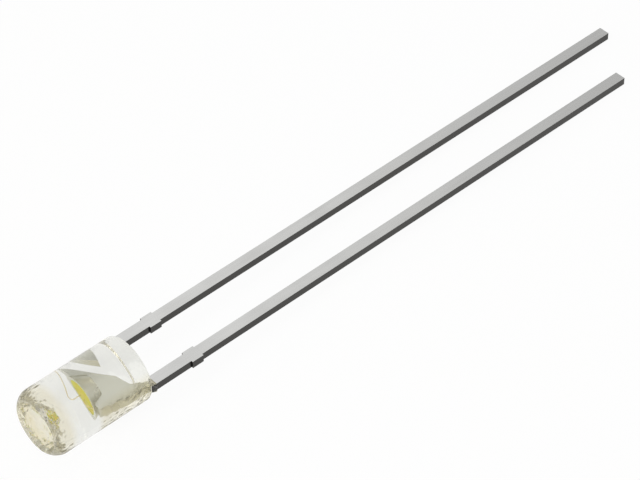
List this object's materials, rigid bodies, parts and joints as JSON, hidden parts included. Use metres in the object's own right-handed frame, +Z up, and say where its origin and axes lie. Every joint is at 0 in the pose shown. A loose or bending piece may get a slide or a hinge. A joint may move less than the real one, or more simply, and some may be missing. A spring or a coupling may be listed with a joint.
{
  "type": "through hole led",
  "caption": "Clear cylindrical through-hole LED with a bowl-shaped hollow in its front, stamped leads with stand-off tabs, a reflector cup and a yellow phosphor fill, lying on its side.",
  "frame": {"origin": "middle of the clear body's base, where the leads come out", "axes": "+Z up from the surface that the LED lies on; the body's middle line lies in the XZ plane and points to +X, tipped up by the 2.6 degrees at which the LED rests on its base rim and lead tips; the shorter cathode lead is at +Y"},
  "size_m": [0.033, 0.0032, 0.003],
  "materials": {
    "clear_epoxy": "clear and glossy, very slightly yellow",
    "tinned_steel": "bright tin plate with a soft gloss",
    "chip": "polished",
    "glue": "satin",
    "phosphor_resin": "fine-grained, bright yellow",
    "gold": "polished"
  },
  "bodies": {
    "root": {"clear_body": "clear_epoxy", "cathode_lead": "tinned_steel", "anode_lead": "tinned_steel", "led_chip": "chip", "chip_glue": "glue", "phosphor": "phosphor_resin", "anode_wire": "gold", "cathode_wire": "gold"}
  },
  "joints": []
}
